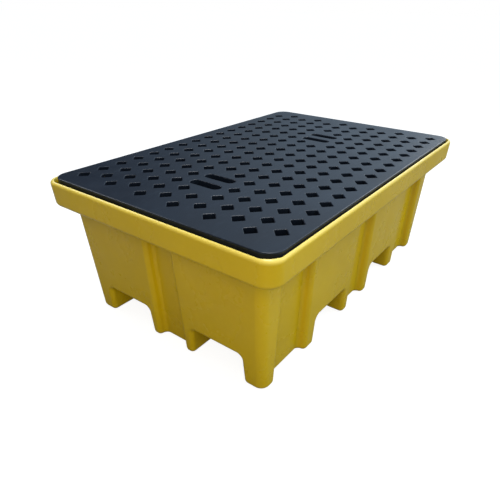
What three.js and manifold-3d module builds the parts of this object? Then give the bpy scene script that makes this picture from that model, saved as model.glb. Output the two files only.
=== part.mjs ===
// A spill containment pallet for drums: a moulded sump standing on nine feet with fork channels
// between them, a perforated deck that lifts out, and the pillars that hold the deck up inside.
// Millimetres. The origin is on the ground under the middle, +X along the long side, +Z up.

import * as THREE from 'three';
import { mergeVertices } from 'three/addons/utils/BufferGeometryUtils.js';
import Module from 'manifold-3d';

const wasm = await Module();
wasm.setup();

// ---- Driving dimensions ----

const SKIN = 6;                 // wall thickness of the sump moulding
const CLEARANCE = 0.3;          // gap left between pieces that rest on each other
const CORNER_STEPS = 6;         // flat facets in a quarter turn of an upright corner
const EDGE_STEPS = 3;           // flat facets in a rounded edge

// Tub walls, measured outside, from the ground up to the ledge that the deck rests on
const TUB = {
  halfXLow: 570, halfYLow: 351,
  halfXHigh: 605, halfYHigh: 363.6,
  height: 392,
  cornerRadius: 26,
};

// Rim around the deck: it steps out from the tub walls and stands up around the deck's edge
const RIM = {
  halfXLow: 649, halfYLow: 419,
  halfX: 652, halfY: 421,
  topZ: 473,
  cornerRadiusLow: 52,
  cornerRadius: 42,
  lip: 9.5,
  innerDraft: 1,
  innerCornerRadius: 40,
  crestRadius: 6.5,
  innerCrestRadius: 2.5,
  lowerEdgeRadius: 8,
};

// Feet and fork channels. The channels run right through both ways, under the tub's floor.
const FOOT_EDGE_RADIUS = 13;
const CHANNEL_HEIGHT = 100;
const CHANNEL_CORNER_RADIUS = 15;
const CHANNEL_DRAFT = 5;        // how much narrower each side of a channel is at its roof
const CHANNEL_ALONG_X = { near: 88, far: 281 };   // distances from the middle, at the ground
const CHANNEL_ALONG_Y = { near: 99, far: 296 };

// Upright recesses in the outside of the walls, one on each foot except the ends of the short sides
const RECESS_DEPTH = 26;
const RECESS_FLANK = 7;         // how much narrower each side is at the recess floor
const RECESS_DRAFT = 4;         // how much each side widens towards the ground
const RECESS_FILLET = 7;
const LONG_SIDE_RECESSES = [
  { centre: -433, halfWidth: 80 },
  { centre: 0, halfWidth: 58 },
  { centre: 433, halfWidth: 80 },
];
const SHORT_SIDE_RECESSES = [{ centre: 0, halfWidth: 53 }];

// Deck: a hollow double-skin moulding with diamond drain holes
const DECK = {
  halfX: 634, halfY: 408,
  topZ: 480,
  cornerRadius: 46,
  edgeRadius: 3,
  skin: 4,
};
const HOLE_HALF_DIAGONAL = { x: 22.8, y: 21.4 };
const HOLE_PATTERN_CENTRE = { x: -2, y: -3 };
const HOLE_PITCH_X = 36;        // between neighbouring columns; the holes in a row are two apart
const HOLE_PITCH_Y = 64;
const HOLE_COLUMNS = 32;
const HOLE_ROWS = 12;

// Hand-holds: a grip bar between two rounded slots, where four drain holes are left out.
// Their places are measured from the middle of the hole pattern.
const HAND_HOLD_CENTRES_X = [-360, 288];
const HAND_HOLD_REACH = { x: 75, y: 60 };
const SLOT_WIDTH = 34;
const SLOT_LENGTH = 112;
const SLOT_SPACING = 66;
const VENT_RADIUS = 7;
const VENT_POSITION = { x: 396, y: 192 };

// Pillars: plain pipes standing over bosses on the tub floor, where the fork channels cross
const PILLAR = { outerRadius: 55, innerRadius: 50, facets: 24, x: 197.5, y: 184.5 };
const BOSS_RADIUS = 48;
const BOSS_HEIGHT = 14;

const ledgeTopZ = TUB.height + SKIN;
const deckBottomZ = ledgeTopZ + CLEARANCE;
const BEYOND = 20;              // how far cutting bodies run past what they cut

// ---- Materials ----

function plastic(name, colour, roughness) {
  const material = new THREE.MeshStandardMaterial({ color: colour, roughness, metalness: 0 });
  material.name = name;
  return material;
}

const materials = {
  sump: () => plastic('yellow polyethylene', 0xd2b23c, 0.5),
  deck: () => plastic('dark blue-grey polyethylene', 0x3c4651, 0.55),
  pillar: () => plastic('black polyethylene pipe', 0x25282b, 0.6),
};

// ---- Solids ----

function solidFrom(geometry) {
  const bare = geometry.index ? geometry.toNonIndexed() : geometry.clone();
  bare.deleteAttribute('normal');
  bare.deleteAttribute('uv');
  const merged = mergeVertices(bare, 1e-4);
  return new wasm.Manifold(new wasm.Mesh({
    numProp: 3,
    vertProperties: new Float32Array(merged.attributes.position.array),
    triVerts: new Uint32Array(merged.index.array),
  }));
}

function geometryFrom(solid) {
  const mesh = solid.getMesh();
  const geometry = new THREE.BufferGeometry();
  geometry.setAttribute('position', new THREE.BufferAttribute(mesh.vertProperties, 3));
  geometry.setIndex(new THREE.BufferAttribute(mesh.triVerts, 1));
  geometry.computeVertexNormals();
  return geometry;
}

// A closed body through a stack of outlines, lowest first. Each is { z, points }, all with as many points.
function stackedBody(levels) {
  const turnsLeft = THREE.ShapeUtils.area(levels[0].points) > 0;
  const rings = levels.map(({ z, points }) => {
    const ordered = turnsLeft ? points : [...points].reverse();
    return ordered.map((point) => new THREE.Vector3(point.x, point.y, z));
  });
  const count = rings[0].length;
  const indices = [];
  for (let layer = 0; layer + 1 < rings.length; layer += 1) {
    for (let i = 0; i < count; i += 1) {
      const low = layer * count + i;
      const lowNext = layer * count + (i + 1) % count;
      indices.push(low, lowNext, lowNext + count, low, lowNext + count, low + count);
    }
  }
  const top = (rings.length - 1) * count;
  for (let i = 1; i + 1 < count; i += 1) {
    indices.push(0, i + 1, i);
    indices.push(top, top + i, top + i + 1);
  }
  const geometry = new THREE.BufferGeometry().setFromPoints(rings.flat());
  geometry.setIndex(indices);
  return solidFrom(geometry);
}

function roundedRectangle(halfX, halfY, radius) {
  const points = [];
  const corners = [[1, 1], [-1, 1], [-1, -1], [1, -1]];
  corners.forEach(([signX, signY], quarter) => {
    for (let step = 0; step <= CORNER_STEPS; step += 1) {
      const angle = (quarter + step / CORNER_STEPS) * Math.PI / 2;
      points.push(new THREE.Vector2(
        signX * (halfX - radius) + radius * Math.cos(angle),
        signY * (halfY - radius) + radius * Math.sin(angle),
      ));
    }
  });
  return points;
}

function level(z, halfX, halfY, radius, inset = 0) {
  return { z, points: roundedRectangle(halfX - inset, halfY - inset, radius - inset) };
}

// The steps of a quarter-round edge: how far in from the face, and how far from the edge's start
function quarterRound(radius) {
  const steps = [];
  for (let step = 0; step <= EDGE_STEPS; step += 1) {
    const angle = step / EDGE_STEPS * Math.PI / 2;
    steps.push({ inset: radius * (1 - Math.sin(angle)), rise: radius * (1 - Math.cos(angle)) });
  }
  return steps;
}

function cylinder(radius, lowZ, highZ, facets) {
  const geometry = new THREE.CylinderGeometry(radius, radius, highZ - lowZ, facets);
  geometry.rotateX(Math.PI / 2);
  geometry.translate(0, 0, (lowZ + highZ) / 2);
  return geometry;
}

// ---- Sump ----

function tubHalfX(z) {
  return TUB.halfXLow + (TUB.halfXHigh - TUB.halfXLow) * z / TUB.height;
}

function tubHalfY(z) {
  return TUB.halfYLow + (TUB.halfYHigh - TUB.halfYLow) * z / TUB.height;
}

// The tub's outside, or its inside when moved in by the skin's thickness
function tubBody(moveIn, topZ) {
  const radius = TUB.cornerRadius - moveIn;
  const foot = quarterRound(FOOT_EDGE_RADIUS).map(({ inset, rise }) => {
    const z = moveIn + rise;
    return level(z, tubHalfX(z) - moveIn, tubHalfY(z) - moveIn, radius, inset);
  });
  return stackedBody([...foot, level(topZ, tubHalfX(topZ) - moveIn, tubHalfY(topZ) - moveIn, radius)]);
}

// The long body that clears one fork channel, or the same with the sump's skin around it.
// It is drawn along Y at the positive side and then turned about Z.
function channelBody({ near, far }, skin, turn) {
  const middle = (near + far) / 2;
  const halfLow = (far - near) / 2 + skin;
  const halfHigh = halfLow - CHANNEL_DRAFT;
  const roof = CHANNEL_HEIGHT + skin;
  const radius = CHANNEL_CORNER_RADIUS + skin;
  const right = [[halfLow + FOOT_EDGE_RADIUS, -BEYOND]];
  quarterRound(FOOT_EDGE_RADIUS).forEach(({ inset, rise }) => right.push([halfLow + inset, skin + rise]));
  quarterRound(radius).reverse().forEach(({ inset, rise }) => right.push([halfHigh - inset, roof - rise]));
  const left = right.map(([u, z]) => [-u, z]).reverse();
  const outline = [...right, ...left].map(([u, z]) => new THREE.Vector2(middle + u, z));
  const length = 2 * (RIM.halfX + BEYOND);
  const options = { depth: length, bevelEnabled: false };
  const geometry = new THREE.ExtrudeGeometry(new THREE.Shape(outline), options);
  geometry.translate(0, 0, -length / 2);
  geometry.rotateX(Math.PI / 2);
  geometry.rotateZ(turn);
  return solidFrom(geometry);
}

function channelBodies(skin) {
  return [
    channelBody(CHANNEL_ALONG_Y, skin, 0),
    channelBody(CHANNEL_ALONG_Y, skin, Math.PI),
    channelBody(CHANNEL_ALONG_X, skin, Math.PI / 2),
    channelBody(CHANNEL_ALONG_X, skin, -Math.PI / 2),
  ];
}

// The wedge that clears one upright recess, or the same with the sump's skin around it
function recessBody({ centre, halfWidth }, wallHalf, toPlan, skin) {
  const outlineAt = (z, widening) => {
    const mouth = halfWidth + skin + widening;
    const floor = mouth - RECESS_FLANK;
    const wall = wallHalf(z);
    const floorAt = wall - RECESS_DEPTH - skin;
    const half = [
      [mouth, wall + BEYOND],
      [mouth, wall],
      [floor, floorAt + RECESS_FILLET],
      [floor - RECESS_FILLET, floorAt],
    ];
    const outline = [...half, ...half.map(([u, v]) => [-u, v]).reverse()];
    return { z, points: outline.map(([u, v]) => toPlan(centre + u, v)) };
  };
  return stackedBody([outlineAt(-BEYOND, RECESS_DRAFT), outlineAt(TUB.height + skin, -RECESS_DRAFT)]);
}

function recessBodies(skin) {
  const bodies = [];
  for (const side of [-1, 1]) {
    for (const recess of LONG_SIDE_RECESSES) {
      bodies.push(recessBody(recess, tubHalfY, (u, v) => new THREE.Vector2(u, side * v), skin));
    }
    for (const recess of SHORT_SIDE_RECESSES) {
      bodies.push(recessBody(recess, tubHalfX, (u, v) => new THREE.Vector2(side * v, u), skin));
    }
  }
  return bodies;
}

function rimOutside() {
  const lower = quarterRound(RIM.lowerEdgeRadius).map(({ inset, rise }) => (
    level(TUB.height + rise, RIM.halfXLow, RIM.halfYLow, RIM.cornerRadiusLow, inset)));
  const crest = quarterRound(RIM.crestRadius).reverse().map(({ inset, rise }) => (
    level(RIM.topZ - rise, RIM.halfX, RIM.halfY, RIM.cornerRadius, inset)));
  return stackedBody([...lower, ...crest]);
}

function rimInside() {
  const halfX = RIM.halfX - RIM.lip;
  const halfY = RIM.halfY - RIM.lip;
  const radius = RIM.innerCornerRadius;
  const ledge = level(ledgeTopZ, halfX - RIM.innerDraft, halfY - RIM.innerDraft, radius);
  const crest = quarterRound(RIM.innerCrestRadius).reverse().map(({ inset, rise }) => (
    level(RIM.topZ - rise, halfX, halfY, radius, -inset)));
  const above = level(RIM.topZ + BEYOND, halfX, halfY, radius, -RIM.innerCrestRadius);
  return stackedBody([ledge, ...crest, above]);
}

function pillarPositions() {
  return [-1, 1].flatMap((signX) => [-1, 1].map((signY) => ({ x: signX * PILLAR.x, y: signY * PILLAR.y })));
}

function bossBodies(radius, lowZ, highZ) {
  return pillarPositions().map(({ x, y }) => (
    solidFrom(cylinder(radius, lowZ, highZ, PILLAR.facets).translate(x, y, 0))));
}

function buildSump() {
  const outside = channelBodies(0).concat(recessBodies(0)).reduce(
    (body, cut) => body.subtract(cut),
    tubBody(0, TUB.height),
  ).add(rimOutside());
  const floorZ = CHANNEL_HEIGHT + SKIN;
  const inside = channelBodies(SKIN)
    .concat(recessBodies(SKIN), bossBodies(BOSS_RADIUS, floorZ - SKIN, floorZ + BOSS_HEIGHT))
    .reduce((body, kept) => body.subtract(kept), tubBody(SKIN, ledgeTopZ + SKIN));
  const bossHollows = bossBodies(BOSS_RADIUS - SKIN, CHANNEL_HEIGHT - SKIN, floorZ + BOSS_HEIGHT - SKIN);
  return bossHollows.reduce((body, hollow) => body.subtract(hollow), outside)
    .subtract(inside)
    .subtract(rimInside());
}

// ---- Deck ----

function holeCentres() {
  const centres = [];
  for (let column = 0; column < HOLE_COLUMNS; column += 1) {
    for (let row = 0; row < HOLE_ROWS; row += 1) {
      const x = (column - (HOLE_COLUMNS - 1) / 2) * HOLE_PITCH_X;
      const y = (row - (HOLE_ROWS - 1) / 2) * HOLE_PITCH_Y;
      const taken = HAND_HOLD_CENTRES_X.some((centre) => (
        Math.abs(x - centre) < HAND_HOLD_REACH.x && Math.abs(y) < HAND_HOLD_REACH.y));
      if ((column + row) % 2 === 1 && !taken) {
        centres.push({ x, y });
      }
    }
  }
  return centres;
}

function holeBodies(wall, lowZ, highZ) {
  const stretchX = HOLE_HALF_DIAGONAL.x + wall * Math.SQRT2;
  const stretchY = HOLE_HALF_DIAGONAL.y + wall * Math.SQRT2;
  return holeCentres().map(({ x, y }) => {
    const diamond = cylinder(1, lowZ, highZ, 4).scale(stretchX, stretchY, 1);
    return solidFrom(diamond.translate(x + HOLE_PATTERN_CENTRE.x, y + HOLE_PATTERN_CENTRE.y, 0));
  });
}

function slotBodies(wall, lowZ, highZ) {
  const radius = SLOT_WIDTH / 2 + wall;
  const straight = (SLOT_LENGTH - SLOT_WIDTH) / 2;
  const outline = new THREE.Shape();
  outline.absarc(0, straight, radius, 0, Math.PI, false);
  outline.absarc(0, -straight, radius, Math.PI, 2 * Math.PI, false);
  const options = { depth: highZ - lowZ, bevelEnabled: false, curveSegments: CORNER_STEPS };
  return HAND_HOLD_CENTRES_X.flatMap((centre) => [-1, 1].map((side) => {
    const geometry = new THREE.ExtrudeGeometry(outline, options);
    const x = HOLE_PATTERN_CENTRE.x + centre + side * SLOT_SPACING / 2;
    return solidFrom(geometry.translate(x, HOLE_PATTERN_CENTRE.y, lowZ));
  }));
}

function ventBodies() {
  return [-1, 1].flatMap((signX) => [-1, 1].map((signY) => {
    const vent = cylinder(VENT_RADIUS, deckBottomZ - BEYOND, deckBottomZ + BEYOND, 12);
    return solidFrom(vent.translate(signX * VENT_POSITION.x, signY * VENT_POSITION.y, 0));
  }));
}

function deckShell() {
  const { halfX, halfY, topZ, cornerRadius, edgeRadius } = DECK;
  const lower = quarterRound(edgeRadius).map(({ inset, rise }) => (
    level(deckBottomZ + rise, halfX, halfY, cornerRadius, inset)));
  const upper = quarterRound(edgeRadius).reverse().map(({ inset, rise }) => (
    level(topZ - rise, halfX, halfY, cornerRadius, inset)));
  return stackedBody([...lower, ...upper]);
}

function deckHollow() {
  const { halfX, halfY, topZ, cornerRadius, skin } = DECK;
  return stackedBody([
    level(deckBottomZ + skin, halfX, halfY, cornerRadius, skin),
    level(topZ - skin, halfX, halfY, cornerRadius, skin),
  ]);
}

function buildDeck() {
  const lowZ = deckBottomZ - BEYOND;
  const highZ = DECK.topZ + BEYOND;
  const tubes = [...holeBodies(DECK.skin, lowZ, highZ), ...slotBodies(DECK.skin, lowZ, highZ)];
  const hollow = deckHollow().subtract(wasm.Manifold.union(tubes));
  const openings = [...holeBodies(0, lowZ, highZ), ...slotBodies(0, lowZ, highZ), ...ventBodies()];
  return deckShell().subtract(hollow).subtract(wasm.Manifold.union(openings));
}

// ---- Pillars ----

function pillarGeometry() {
  const lowZ = CHANNEL_HEIGHT + SKIN + CLEARANCE;
  const highZ = deckBottomZ - CLEARANCE;
  const profile = [
    new THREE.Vector2(PILLAR.innerRadius, lowZ),
    new THREE.Vector2(PILLAR.outerRadius, lowZ),
    new THREE.Vector2(PILLAR.outerRadius, highZ),
    new THREE.Vector2(PILLAR.innerRadius, highZ),
    new THREE.Vector2(PILLAR.innerRadius, lowZ),
  ];
  return new THREE.LatheGeometry(profile, PILLAR.facets).rotateX(Math.PI / 2);
}

// ---- Assembly ----

function namedMesh(name, geometry, material) {
  const mesh = new THREE.Mesh(geometry, material);
  mesh.name = name;
  return mesh;
}

const pallet = new THREE.Group();
pallet.add(namedMesh('sump', geometryFrom(buildSump()), materials.sump()));
pallet.add(namedMesh('deck', geometryFrom(buildDeck()), materials.deck()));
pillarPositions().forEach(({ x, y }, index) => {
  const pillar = namedMesh(`pillar_${index + 1}`, pillarGeometry(), materials.pillar());
  pillar.position.set(x, y, 0);
  pallet.add(pillar);
});

export default pallet;
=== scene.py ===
"""Looks for a spill containment pallet: a moulded yellow sump, four pillars and a dark perforated deck.

Lengths below are millimetres, and every mesh is written in metres in the CAD frame: the origin is on
the ground under the middle, +X along the long side, +Z up.
"""

import math
from itertools import product

import bpy
import numpy as np
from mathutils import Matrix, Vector
from mathutils.geometry import tessellate_polygon


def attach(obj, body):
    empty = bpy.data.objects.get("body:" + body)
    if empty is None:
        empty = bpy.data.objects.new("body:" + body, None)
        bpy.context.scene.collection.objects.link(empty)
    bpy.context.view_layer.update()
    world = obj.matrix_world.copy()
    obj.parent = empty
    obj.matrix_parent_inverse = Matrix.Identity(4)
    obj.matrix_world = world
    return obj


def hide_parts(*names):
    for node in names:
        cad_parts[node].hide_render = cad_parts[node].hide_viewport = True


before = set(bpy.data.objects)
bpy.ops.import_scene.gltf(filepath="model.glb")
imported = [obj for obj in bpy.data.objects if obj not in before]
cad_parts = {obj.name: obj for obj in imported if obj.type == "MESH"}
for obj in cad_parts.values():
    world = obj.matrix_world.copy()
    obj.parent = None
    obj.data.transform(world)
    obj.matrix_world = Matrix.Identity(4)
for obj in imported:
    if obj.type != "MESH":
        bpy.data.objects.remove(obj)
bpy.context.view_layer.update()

MM = 0.001

# ---- Driving dimensions ----

SKIN = 6.0
LEDGE_TOP = 398.0

TUB_LOW = (570.0, 351.0)          # half sizes of the tub walls at the ground
TUB_HIGH = (605.0, 363.6)         # and under the rim
TUB_HEIGHT = 392.0
TUB_CORNER = 30.0
FOOT_EDGE = 15.0
RIM_FILLET = 8.0

CHANNEL_HEIGHT = 100.0
CHANNEL_CORNER = 15.0
CHANNEL_DRAFT = 5.0
CHANNEL_ALONG_X = (88.0, 281.0)   # near and far walls, from the middle
CHANNEL_ALONG_Y = (99.0, 296.0)

RECESS_DEPTH = 26.0
RECESS_FLANK = 7.0
RECESS_DRAFT = 4.0
RECESS_FILLET = 9.0
RECESS_EDGE = 12.0
LONG_SIDE_RECESSES = ((0.0, 58.0), (433.0, 80.0))    # centre and half width
SHORT_SIDE_RECESSES = ((0.0, 53.0),)

RIM_LOW = (649.0, 419.0)
RIM_HIGH = (652.0, 421.0)
RIM_TOP = 473.0
RIM_CORNERS = (52.0, 42.0)        # corner radius at the bottom and at the top
RIM_INNER_CORNER = 40.0
RIM_LIP = 9.5
RIM_INNER_DRAFT = 1.0
RIM_CREST = 12.0
RIM_INNER_CREST = 2.5
RIM_LOWER_EDGE = 14.0
LEDGE_EDGE = 4.0
LEDGE_FILLET = 3.0

DECK_HALF = (634.0, 408.0)
DECK_BOTTOM = 398.3
DECK_TOP = 480.0
DECK_CORNER = 46.0
DECK_EDGE = 3.0
DECK_CORNER_STEPS = 16

HOLE_HALF_DIAGONALS = (22.8, 21.4)
HOLE_CORNER = 3.0
HOLE_CORNER_STEPS = 4
HOLE_LIP = 2.5
HOLE_PATTERN_CENTRE = (-2.0, -3.0)
HOLE_PITCH = (36.0, 64.0)         # the holes in a row are two pitches apart
HOLE_COLUMNS = 32
HOLE_ROWS = 12

HAND_HOLD_CENTRES_X = (-360.0, 288.0)     # from the middle of the hole pattern
HAND_HOLD_REACH = (75.0, 60.0)
SLOT_WIDTH = 34.0
SLOT_LENGTH = 112.0
SLOT_SPACING = 66.0
SLOT_LIP = 2.5
SLOT_STEPS = 12
VENT_AT = (396.0, 192.0)
VENT_RADIUS = 7.0
VENT_STEPS = 24

PILLAR_AT = (197.5, 184.5)
PILLAR_RADII = (50.0, 55.0)
PILLAR_ENDS = (106.3, 398.0)
PILLAR_EDGE = 1.2
PILLAR_FACETS = 96
BOSS_HOLLOW_RADIUS = 42.0
BOSS_HOLLOW_TOP = 114.0
BOSS_EDGE = 3.0

# ---- Distances to shapes: negative inside, in millimetres ----


def rounded_rectangle(u, v, half_u, half_v, radius):
    du = np.abs(u) - (half_u - radius)
    dv = np.abs(v) - (half_v - radius)
    outside = np.hypot(np.maximum(du, 0), np.maximum(dv, 0))
    return outside + np.minimum(np.maximum(du, dv), 0) - radius


def common(a, b, radius):
    """What is inside both shapes, with the edge between them rounded."""
    corner = np.hypot(np.maximum(a + radius, 0), np.maximum(b + radius, 0))
    return np.minimum(-radius, np.maximum(a, b)) + corner


def joined(a, b, radius):
    """Both shapes together, with a fillet between them."""
    return -common(-a, -b, radius)


def between(low, high, z):
    return low + (high - low) * z / TUB_HEIGHT


def channel(across, z, walls):
    near, far = walls
    half = (far - near) / 2 - CHANNEL_DRAFT * z / CHANNEL_HEIGHT
    dw = np.abs(across - (near + far) / 2) - (half - CHANNEL_CORNER)
    dz = z - (CHANNEL_HEIGHT - CHANNEL_CORNER)
    outside = np.hypot(np.maximum(dw, 0), np.maximum(dz, 0))
    return outside + np.minimum(np.maximum(dw, dz), 0) - CHANNEL_CORNER


def recess(along, depth, z, centre, half_width):
    """An upright wedge cut into a wall. depth is how far in from the wall's face."""
    mouth = half_width + RECESS_DRAFT * (1 - 2 * z / TUB_HEIGHT)
    half = mouth - RECESS_FLANK * depth / RECESS_DEPTH
    du = np.abs(along - centre) - (half - RECESS_FILLET)
    dv = depth - (RECESS_DEPTH - RECESS_FILLET)
    outside = np.hypot(np.maximum(du, 0), np.maximum(dv, 0))
    return outside + np.minimum(np.maximum(du, dv), 0) - RECESS_FILLET


def tub(x, y, z):
    """The tub's outer body, with its recesses, channels and feet, as if it had no top."""
    half_x = between(TUB_LOW[0], TUB_HIGH[0], z)
    half_y = between(TUB_LOW[1], TUB_HIGH[1], z)
    body = rounded_rectangle(x, y, half_x, half_y, TUB_CORNER)
    for centre, half_width in LONG_SIDE_RECESSES:
        body = common(body, -recess(x, half_y - y, z, centre, half_width), RECESS_EDGE)
    for centre, half_width in SHORT_SIDE_RECESSES:
        body = common(body, -recess(y, half_x - x, z, centre, half_width), RECESS_EDGE)
    channels = joined(channel(y, z, CHANNEL_ALONG_X), channel(x, z, CHANNEL_ALONG_Y), FOOT_EDGE)
    channels = np.maximum(channels, z - CHANNEL_HEIGHT)
    body = common(body, -channels, FOOT_EDGE)
    boss = np.hypot(x - PILLAR_AT[0], y - PILLAR_AT[1]) - BOSS_HOLLOW_RADIUS
    body = common(body, -np.maximum(boss, z - BOSS_HOLLOW_TOP), BOSS_EDGE)
    return common(body, -z, FOOT_EDGE)


def sump(points):
    x, y, z = np.abs(points[0]), np.abs(points[1]), points[2]
    outer = tub(x, y, z)
    share = np.clip((z - TUB_HEIGHT) / (RIM_TOP - TUB_HEIGHT), 0, 1)
    half_x = RIM_LOW[0] + (RIM_HIGH[0] - RIM_LOW[0]) * share
    half_y = RIM_LOW[1] + (RIM_HIGH[1] - RIM_LOW[1]) * share
    corner = RIM_CORNERS[0] + (RIM_CORNERS[1] - RIM_CORNERS[0]) * share
    band = rounded_rectangle(x, y, half_x, half_y, corner)
    band = common(band, TUB_HEIGHT - z, RIM_LOWER_EDGE)
    body = joined(outer, band, RIM_FILLET)
    body = common(body, z - RIM_TOP, RIM_CREST)
    lip = RIM_LIP + RIM_INNER_DRAFT * (1 - share)
    pocket = rounded_rectangle(x, y, RIM_HIGH[0] - lip, RIM_HIGH[1] - lip, RIM_INNER_CORNER)
    body = common(body, -common(pocket, LEDGE_TOP - z, LEDGE_FILLET), RIM_INNER_CREST)
    return common(body, -(outer + SKIN), LEDGE_EDGE)


# ---- Meshes from distances ----

FINE = 3.0                        # grid steps: fine where edges, recesses, channels and bosses are
COARSE = 12.0                     # and coarse along plain walls
FINE_SPANS_X = ((33, 77), (80, 118), (143, 252), (278, 315), (331, 375), (490, 535), (545, 655))
FINE_SPANS_Y = ((30, 74), (70, 108), (130, 239), (262, 300), (305, 425))
FINE_SPANS_Z = ((-5, 28), (80, 124), (380, 476))


def grid_lines(start, stop, fine_spans):
    lines = [start]
    while lines[-1] < stop:
        is_fine = any(low - COARSE < lines[-1] < high for low, high in fine_spans)
        lines.append(lines[-1] + (FINE if is_fine else COARSE))
    return np.array(lines)


def mirrored(lines):
    return np.concatenate([-lines[::-1], lines])


def gradient(distance, points, step=0.25):
    slopes = []
    for axis in range(3):
        shift = np.zeros((3, 1))
        shift[axis] = step
        slopes.append(distance(points + shift) - distance(points - shift))
    slopes = np.array(slopes)
    return slopes / (2 * step)


def settled(distance, points, rounds=4):
    """Points moved onto the surface, and the surface's directions there."""
    for _ in range(rounds):
        slope = gradient(distance, points)
        steepness = np.maximum((slope ** 2).sum(0), 0.2)
        points = points - slope * distance(points) / steepness
    slope = gradient(distance, points)
    return points, slope / np.maximum(np.linalg.norm(slope, axis=0), 1e-9)


def evened(distance, points, quads, rounds=5):
    """Points spread more evenly over the surface."""
    starts = quads.ravel()
    ends = np.roll(quads, -1, axis=1).ravel()
    total = points.shape[1]
    neighbours = np.bincount(starts, minlength=total) + np.bincount(ends, minlength=total)
    for _ in range(rounds):
        points, normals = settled(distance, points, 1)
        sums = [np.bincount(starts, part[ends], total) + np.bincount(ends, part[starts], total)
                for part in points]
        pull = np.array(sums) / neighbours - points
        pull -= normals * (pull * normals).sum(0)
        points = points + 0.5 * pull
    return points


def surface_net(distance, axes):
    """Quads around the zero level of a distance, with one corner in each grid cell that it crosses."""
    grid = np.array(np.meshgrid(*axes, indexing="ij"))
    values = distance(grid)
    inside = values < 0
    cells = tuple(n - 1 for n in values.shape)
    total = np.zeros((3,) + cells)
    count = np.zeros(cells)
    for axis in range(3):
        low = [slice(None)] * 3
        high = [slice(None)] * 3
        low[axis], high[axis] = slice(0, -1), slice(1, None)
        low, high = tuple(low), tuple(high)
        crosses = inside[low] != inside[high]
        gap = np.where(crosses, values[low] - values[high], 1.0)
        share = np.where(crosses, values[low] / gap, 0.0)
        for shift in product((0, 1), repeat=2):
            window = [slice(s, s + n) for s, n in zip(shift, (cells[a] for a in range(3) if a != axis))]
            window.insert(axis, slice(None))
            window = tuple(window)
            count += crosses[window]
            for part in range(3):
                start, end = grid[part][low][window], grid[part][high][window]
                total[part] += np.where(crosses[window], start + (end - start) * share[window], 0)
    active = count > 0
    number = np.cumsum(active.ravel()).reshape(cells) - 1
    points = total[:, active] / count[active]
    quads = []
    for axis in range(3):
        order = (axis, (axis + 1) % 3, (axis + 2) % 3)
        turned = inside.transpose(order)
        named = number.transpose(order)
        starts_inside = turned[:-1, 1:-1, 1:-1]
        crosses = starts_inside != turned[1:, 1:-1, 1:-1]
        ring = [named[:, :-1, :-1], named[:, 1:, :-1], named[:, 1:, 1:], named[:, :-1, 1:]]
        faces = np.stack([corner[crosses] for corner in ring], axis=1)
        faces[~starts_inside[crosses]] = faces[~starts_inside[crosses]][:, ::-1]
        quads.append(faces)
    return points, np.concatenate(quads)


def new_mesh(name, points, normals, faces):
    """A smooth mesh from points and normals given as rows of x, y, z."""
    mesh = bpy.data.meshes.new(name)
    corners = [corner for face in faces for corner in face]
    sizes = np.array([len(face) for face in faces])
    mesh.vertices.add(len(points))
    mesh.vertices.foreach_set("co", (np.array(points) * MM).astype(np.float32).ravel())
    mesh.loops.add(len(corners))
    mesh.loops.foreach_set("vertex_index", np.array(corners, dtype=np.int32))
    mesh.polygons.add(len(faces))
    mesh.polygons.foreach_set("loop_start", np.concatenate([[0], np.cumsum(sizes)[:-1]]).astype(np.int32))
    mesh.update(calc_edges=True)
    mesh.shade_smooth()
    mesh.normals_split_custom_set_from_vertices(np.array(normals).tolist())
    return mesh


def add_piece(name, mesh, material):
    piece = bpy.data.objects.new(name, mesh)
    bpy.context.scene.collection.objects.link(piece)
    mesh.materials.append(material)
    return piece


# ---- Meshes from outlines ----

EDGE_STEPS = 4


def rounded_outline(corners, steps):
    """The corner and the outward direction of each point around a convex shape, anticlockwise.
    Moving every point out along its direction gives the shape rounded corners. One corner makes a circle."""
    if len(corners) == 1:
        angles = np.arange(steps) / steps * 2 * math.pi
        return [(corners[0], (math.cos(angle), math.sin(angle))) for angle in angles]
    outline = []
    for index, corner in enumerate(corners):
        before = corners[index - 1]
        after = corners[(index + 1) % len(corners)]
        first = math.atan2(before[0] - corner[0], corner[1] - before[1])
        last = math.atan2(corner[0] - after[0], after[1] - corner[1])
        turn = (last - first) % (2 * math.pi)
        for step in range(steps + 1):
            angle = first + turn * step / steps
            outline.append((corner, (math.cos(angle), math.sin(angle))))
    return outline


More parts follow.
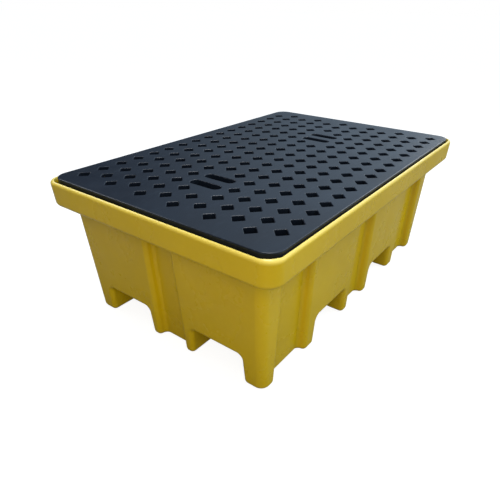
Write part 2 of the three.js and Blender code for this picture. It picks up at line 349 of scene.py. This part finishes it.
class Surface:
    """Collects the points, normals and faces of one mesh."""

    def __init__(self):
        self.points = []
        self.normals = []
        self.faces = []

    def ring(self, outline, reach, z, out, up):
        """Points around an outline at one height, with normals made of an outward and an upward part."""
        start = len(self.points)
        for (x, y), (dx, dy) in outline:
            self.points.append((x + reach * dx, y + reach * dy, z))
            self.normals.append((out * dx, out * dy, up))
        return list(range(start, len(self.points)))

    def bridge(self, lower, upper, facing):
        """Faces between two rings: outwards when facing is 1, inwards when it is -1."""
        for i in range(len(lower)):
            j = (i + 1) % len(lower)
            self.faces.append((lower[i], lower[j], upper[j], upper[i])[::facing])

    def wall(self, outline, reach, low, high, edge, facing):
        """An upright wall with rounded ends. Returns its lowest and its highest ring."""
        rings = []
        for middle, first, last in ((low + edge, -90, 0), (high - edge, 0, 90)):
            for angle in np.radians(np.linspace(first, last, EDGE_STEPS + 1)):
                out, up = math.cos(angle), math.sin(angle)
                inset = facing * edge * (1 - out)
                rings.append(self.ring(outline, reach - inset, middle + edge * up, facing * out, up))
        for lower, upper in zip(rings, rings[1:]):
            self.bridge(lower, upper, facing)
        return rings[0], rings[-1]

    def flat(self, loops, up):
        """A level face with holes. The first loop is its outline."""
        order = [index for loop in loops for index in loop]
        outlines = [[Vector(self.points[index]) for index in loop] for loop in loops]
        for triangle in tessellate_polygon(outlines):
            a, b, c = (order[corner] for corner in triangle)
            ax, ay = self.points[a][:2]
            bx, by = self.points[b][:2]
            cx, cy = self.points[c][:2]
            turn = (bx - ax) * (cy - ay) - (by - ay) * (cx - ax)
            self.faces.append((a, b, c) if turn * up > 0 else (a, c, b))


# ---- Pieces ----


def build_sump(material):
    axes = [
        mirrored(grid_lines(FINE / 2, RIM_HIGH[0] + 2, FINE_SPANS_X)),
        mirrored(grid_lines(FINE / 2, RIM_HIGH[1] + 2, FINE_SPANS_Y)),
        grid_lines(-FINE / 2, RIM_TOP + 1, FINE_SPANS_Z),
    ]
    points, quads = surface_net(sump, axes)
    points, normals = settled(sump, evened(sump, points, quads))
    mesh = new_mesh("sump_moulding", points.T, normals.T, quads.tolist())
    return add_piece("sump_moulding", mesh, material)


def hole_centres():
    centres = []
    for column, row in product(range(HOLE_COLUMNS), range(HOLE_ROWS)):
        x = (column - (HOLE_COLUMNS - 1) / 2) * HOLE_PITCH[0]
        y = (row - (HOLE_ROWS - 1) / 2) * HOLE_PITCH[1]
        taken = any(abs(x - centre) < HAND_HOLD_REACH[0] and abs(y) < HAND_HOLD_REACH[1]
                    for centre in HAND_HOLD_CENTRES_X)
        if (column + row) % 2 == 1 and not taken:
            centres.append((x + HOLE_PATTERN_CENTRE[0], y + HOLE_PATTERN_CENTRE[1]))
    return centres


def build_deck(material):
    surface = Surface()
    core = [half - DECK_CORNER for half in DECK_HALF]
    corners = [(core[0], core[1]), (-core[0], core[1]), (-core[0], -core[1]), (core[0], -core[1])]
    outline = rounded_outline(corners, DECK_CORNER_STEPS)
    walls = [surface.wall(outline, DECK_CORNER, DECK_BOTTOM, DECK_TOP, DECK_EDGE, 1)]

    a, b = HOLE_HALF_DIAGONALS
    shrink = 1 - HOLE_CORNER * math.hypot(a, b) / (a * b)
    for x, y in hole_centres():
        corners = [(x + a * shrink, y), (x, y + b * shrink), (x - a * shrink, y), (x, y - b * shrink)]
        outline = rounded_outline(corners, HOLE_CORNER_STEPS)
        walls.append(surface.wall(outline, HOLE_CORNER, DECK_BOTTOM, DECK_TOP, HOLE_LIP, -1))

    straight = (SLOT_LENGTH - SLOT_WIDTH) / 2
    for centre, side in product(HAND_HOLD_CENTRES_X, (-1, 1)):
        x = HOLE_PATTERN_CENTRE[0] + centre + side * SLOT_SPACING / 2
        y = HOLE_PATTERN_CENTRE[1]
        outline = rounded_outline([(x, y + straight), (x, y - straight)], SLOT_STEPS)
        walls.append(surface.wall(outline, SLOT_WIDTH / 2, DECK_BOTTOM, DECK_TOP, SLOT_LIP, -1))

    vents = []
    for side_x, side_y in product((-1, 1), repeat=2):
        outline = rounded_outline([(side_x * VENT_AT[0], side_y * VENT_AT[1])], VENT_STEPS)
        rings = [surface.ring(outline, VENT_RADIUS, DECK_BOTTOM, 0, -1)]
        for angle in np.radians(np.linspace(0, 80, VENT_STEPS // 4)):
            out, up = math.cos(angle), math.sin(angle)
            z = DECK_BOTTOM + VENT_RADIUS * (1 + up)
            rings.append(surface.ring(outline, VENT_RADIUS * out, z, -out, -up))
        for lower, upper in zip(rings, rings[1:]):
            surface.bridge(lower, upper, -1)
        surface.faces.append(tuple(rings[-1][::-1]))
        vents.append(rings[0])

    surface.flat([low for low, _ in walls] + vents, -1)
    surface.flat([high for _, high in walls], 1)
    mesh = new_mesh("deck_moulding", surface.points, surface.normals, surface.faces)
    return add_piece("deck_moulding", mesh, material)


def build_pillar(name, x, y, material):
    surface = Surface()
    outline = rounded_outline([(x, y)], PILLAR_FACETS)
    inner = surface.wall(outline, PILLAR_RADII[0], *PILLAR_ENDS, PILLAR_EDGE, -1)
    outer = surface.wall(outline, PILLAR_RADII[1], *PILLAR_ENDS, PILLAR_EDGE, 1)
    surface.bridge(inner[0], outer[0], -1)
    surface.bridge(outer[1], inner[1], 1)
    mesh = new_mesh(name, surface.points, surface.normals, surface.faces)
    return add_piece(name, mesh, material)


# ---- Materials ----

YELLOW = (0.65, 0.442, 0.003)
YELLOW_DEEP = (0.59, 0.397, 0.002)
YELLOW_PALE = (0.67, 0.472, 0.010)
# Painted highlight: a paler cream yellow for the rim's crest, standing in for its shine
YELLOW_CREST_HIGHLIGHT = (0.74, 0.62, 0.18)
CREST_HIGHLIGHT_HEIGHTS = (0.460, 0.473)      # heights in metres between which the rim turns paler, a painted highlight on the crest
DARK = (0.007, 0.011, 0.020)
DARK_DEEP = (0.004, 0.006, 0.012)
DARK_PALE = (0.014, 0.021, 0.034)
PIPE = (0.014, 0.015, 0.016)
PIPE_DEEP = (0.008, 0.008, 0.009)
FLOOR = (0.24, 0.24, 0.24)
FLOOR_GLOW = 0.9                  # how bright the floor looks to the camera by itself
SHINE = 0.4                       # specular level of the pieces


class Look:
    """A material with noise-driven colour, roughness and surface relief."""

    def __init__(self, name, shine):
        self.material = bpy.data.materials.new(name)
        self.material.use_nodes = True
        self.nodes = self.material.node_tree.nodes
        self.links = self.material.node_tree.links
        self.shader = self.nodes["Principled BSDF"]
        self.place = self.nodes.new("ShaderNodeTexCoord").outputs["Object"]
        self.shader.inputs["Specular IOR Level"].default_value = shine

    def noise(self, scale, detail, stretch=None):
        node = self.nodes.new("ShaderNodeTexNoise")
        node.inputs["Scale"].default_value = scale
        node.inputs["Detail"].default_value = detail
        place = self.place
        if stretch:
            mapping = self.nodes.new("ShaderNodeMapping")
            mapping.inputs["Scale"].default_value = stretch
            self.links.new(place, mapping.inputs["Vector"])
            place = mapping.outputs["Vector"]
        self.links.new(place, node.inputs["Vector"])
        return node.outputs["Fac"]

    def axis(self, name):
        node = self.nodes.new("ShaderNodeSeparateXYZ")
        self.links.new(self.place, node.inputs["Vector"])
        return node.outputs[name]

    def ranged(self, value, low, high, start=0.3, end=0.7):
        node = self.nodes.new("ShaderNodeMapRange")
        node.inputs["From Min"].default_value = start
        node.inputs["From Max"].default_value = end
        node.inputs["To Min"].default_value = low
        node.inputs["To Max"].default_value = high
        self.links.new(value, node.inputs["Value"])
        return node.outputs["Result"]

    def mixed(self, share, first, second):
        """Two colours blended. Each is a colour or the output of another node."""
        node = self.nodes.new("ShaderNodeMix")
        node.data_type = "RGBA"
        self.links.new(share, node.inputs[0])
        for socket, colour in ((node.inputs[6], first), (node.inputs[7], second)):
            if isinstance(colour, tuple):
                socket.default_value = (*colour, 1)
            else:
                self.links.new(colour, socket)
        return node.outputs[2]

    def relief(self, height, depth, below=None):
        node = self.nodes.new("ShaderNodeBump")
        node.inputs["Distance"].default_value = depth
        self.links.new(height, node.inputs["Height"])
        if below:
            self.links.new(below, node.inputs["Normal"])
        return node.outputs["Normal"]

    def finish(self, colour, roughness, normal):
        self.links.new(colour, self.shader.inputs["Base Color"])
        self.links.new(roughness, self.shader.inputs["Roughness"])
        self.links.new(normal, self.shader.inputs["Normal"])
        return self.material


def yellow_polyethylene():
    look = Look("yellow_polyethylene", SHINE)
    clouds = look.ranged(look.noise(3.0, 3.0), 0, 1)
    specks = look.ranged(look.noise(60.0, 4.0), 0, 0.35, 0.5, 0.75)
    colour = look.mixed(clouds, YELLOW_DEEP, YELLOW)
    colour = look.mixed(specks, colour, YELLOW_PALE)
    # Painted highlight: the rim is blended towards a paler yellow with height, standing in for the shine
    # along its crest
    height = look.axis("Z")
    crest_highlight_share = look.ranged(height, 0, 0.75, *CREST_HIGHLIGHT_HEIGHTS)
    colour = look.mixed(crest_highlight_share, colour, YELLOW_CREST_HIGHLIGHT)
    roughness = look.ranged(look.noise(9.0, 4.0), 0.24, 0.34)
    waves = look.relief(look.noise(9.0, 1.0), 0.0016)
    grain = look.relief(look.noise(420.0, 2.0), 0.00012, waves)
    return look.finish(colour, roughness, grain)


def dark_polyethylene():
    look = Look("dark_polyethylene", SHINE)
    clouds = look.ranged(look.noise(5.0, 4.0), 0, 1)
    scuffs = look.ranged(look.noise(34.0, 6.0, (1.0, 3.0, 1.0)), 0, 0.5, 0.55, 0.8)
    colour = look.mixed(clouds, DARK_DEEP, DARK)
    colour = look.mixed(scuffs, colour, DARK_PALE)
    roughness = look.ranged(look.noise(14.0, 5.0), 0.28, 0.38)
    waves = look.relief(look.noise(7.0, 1.0), 0.0012)
    grain = look.relief(look.noise(500.0, 2.0), 0.00015, waves)
    return look.finish(colour, roughness, grain)


def black_pipe():
    look = Look("black_pipe", SHINE)
    clouds = look.ranged(look.noise(8.0, 3.0), 0, 1)
    colour = look.mixed(clouds, PIPE_DEEP, PIPE)
    roughness = look.ranged(look.noise(20.0, 3.0), 0.4, 0.55)
    lines = look.relief(look.noise(260.0, 2.0, (1.0, 1.0, 0.02)), 0.0002)
    return look.finish(colour, roughness, lines)


def pale_floor():
    """A floor that looks white to the camera, but throws little light back up."""
    look = Look("pale_floor", 0.0)
    clouds = look.ranged(look.noise(2.0, 3.0), 0, 1)
    shade = look.mixed(clouds, tuple(part * 0.98 for part in FLOOR), FLOOR)
    roughness = look.ranged(look.noise(30.0, 3.0), 0.85, 0.95)
    seen = look.nodes.new("ShaderNodeLightPath").outputs["Is Camera Ray"]
    look.shader.inputs["Emission Color"].default_value = (1, 1, 1, 1)
    look.links.new(look.ranged(seen, 0, FLOOR_GLOW, 0, 1), look.shader.inputs["Emission Strength"])
    return look.finish(shade, roughness, look.relief(look.noise(80.0, 2.0), 0.0002))


# ---- The pallet ----

yellow = yellow_polyethylene()
dark = dark_polyethylene()
black = black_pipe()

sump_piece = build_sump(yellow)
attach(sump_piece, "sump")
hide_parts("sump")

deck_piece = build_deck(dark)
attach(deck_piece, "deck")
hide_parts("deck")

for number, (side_x, side_y) in enumerate(product((-1, 1), repeat=2), start=1):
    name = f"pillar_pipe_{number}"
    pillar_piece = build_pillar(name, side_x * PILLAR_AT[0], side_y * PILLAR_AT[1], black)
    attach(pillar_piece, "sump")
    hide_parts(f"pillar_{number}")

# ---- Floor, light and camera ----

FLOOR_REACH = 60.0
FLOOR_DROP = 0.0003
SKY_BRIGHT_SIDE = Vector((0.6, -0.45, 0.66)).normalized()
SKY_COLOUR = (0.64, 0.82, 1.0, 1)
SKY_STRENGTHS = (0.06, 1.5)       # on the dim side and on the bright side
SKY_SPREAD = (0.2, 1.0)           # how nearly a direction faces the bright side, for those strengths
SENSOR = 36                       # millimetres, like the lens
LENS = 32.70
CAMERA_PLACE = (-1.3296, -0.8611, 0.9448)
CAMERA_TURN = (61.62, -0.66, -53.12)      # degrees


def build_floor():
    corners = [(-1, -1), (1, -1), (1, 1), (-1, 1)]
    points = [(x * FLOOR_REACH, y * FLOOR_REACH, -FLOOR_DROP) for x, y in corners]
    mesh = bpy.data.meshes.new("floor")
    mesh.from_pydata(points, [], [(0, 1, 2, 3)])
    return add_piece("floor", mesh, pale_floor())


def build_world():
    """A pale sky, brighter on one side. The camera sees plain white where nothing is in front of it."""
    world = bpy.data.worlds.new("studio")
    world.use_nodes = True
    sky = world.node_tree.nodes
    links = world.node_tree.links
    direction = sky.new("ShaderNodeTexCoord").outputs["Generated"]
    facing = sky.new("ShaderNodeVectorMath")
    facing.operation = "DOT_PRODUCT"
    facing.inputs[1].default_value = SKY_BRIGHT_SIDE
    strength = sky.new("ShaderNodeMapRange")
    strength.inputs["From Min"].default_value = SKY_SPREAD[0]
    strength.inputs["From Max"].default_value = SKY_SPREAD[1]
    strength.inputs["To Min"].default_value = SKY_STRENGTHS[0]
    strength.inputs["To Max"].default_value = SKY_STRENGTHS[1]
    links.new(direction, facing.inputs[0])
    links.new(facing.outputs["Value"], strength.inputs["Value"])
    links.new(strength.outputs["Result"], sky["Background"].inputs["Strength"])
    sky["Background"].inputs["Color"].default_value = SKY_COLOUR
    backdrop = sky.new("ShaderNodeBackground")
    backdrop.inputs["Color"].default_value = (1, 1, 1, 1)
    seen_or_lit = sky.new("ShaderNodeMixShader")
    links.new(sky.new("ShaderNodeLightPath").outputs["Is Camera Ray"], seen_or_lit.inputs[0])
    links.new(sky["Background"].outputs[0], seen_or_lit.inputs[1])
    links.new(backdrop.outputs[0], seen_or_lit.inputs[2])
    links.new(seen_or_lit.outputs[0], sky["World Output"].inputs["Surface"])
    return world


def build_camera():
    data = bpy.data.cameras.new("camera")
    data.sensor_width = SENSOR
    data.lens = LENS
    camera = bpy.data.objects.new("camera", data)
    camera.location = CAMERA_PLACE
    camera.rotation_euler = [math.radians(angle) for angle in CAMERA_TURN]
    bpy.context.scene.collection.objects.link(camera)
    return camera


def area_light(name, place, aim, size, power, colour, glossy=True):
    """A soft lamp. One that isn't glossy lights the pieces without a mirror image in them."""
    data = bpy.data.lights.new(name, "AREA")
    data.shape = "RECTANGLE"
    data.size, data.size_y = size
    data.energy = power
    data.color = colour
    light = bpy.data.objects.new(name, data)
    light.location = place
    light.rotation_euler = (Vector(aim) - Vector(place)).to_track_quat("-Z", "Y").to_euler()
    light.visible_camera = False
    light.visible_glossy = glossy
    bpy.context.scene.collection.objects.link(light)


floor = build_floor()
bpy.context.scene.world = build_world()
bpy.context.scene.view_settings.view_transform = "Standard"
area_light("overhead", (-0.3, -0.2, 2.6), (-0.3, -0.2, 0), (1.0, 1.0), 36, (1.0, 1.0, 1.0))
area_light("right", (1.6, -2.2, 1.8), (0.2, -0.3, 0.3), (1.2, 1.2), 21, (1.0, 0.92, 0.78), False)
area_light("far right", (3.0, -0.5, 1.9), (0, -0.2, 0.45), (1.4, 1.0), 18, (1.0, 0.97, 0.92))
area_light("left", (-2.2, -1.3, 1.6), (-0.5, -0.2, 0.25), (1.6, 1.6), 35, (1.0, 0.90, 0.68), False)
area_light("back", (-1.0, 2.4, 2.2), (-0.4, 0, 0.4), (1.6, 1.2), 26, (0.95, 0.98, 1.0))
bpy.context.scene.camera = build_camera()
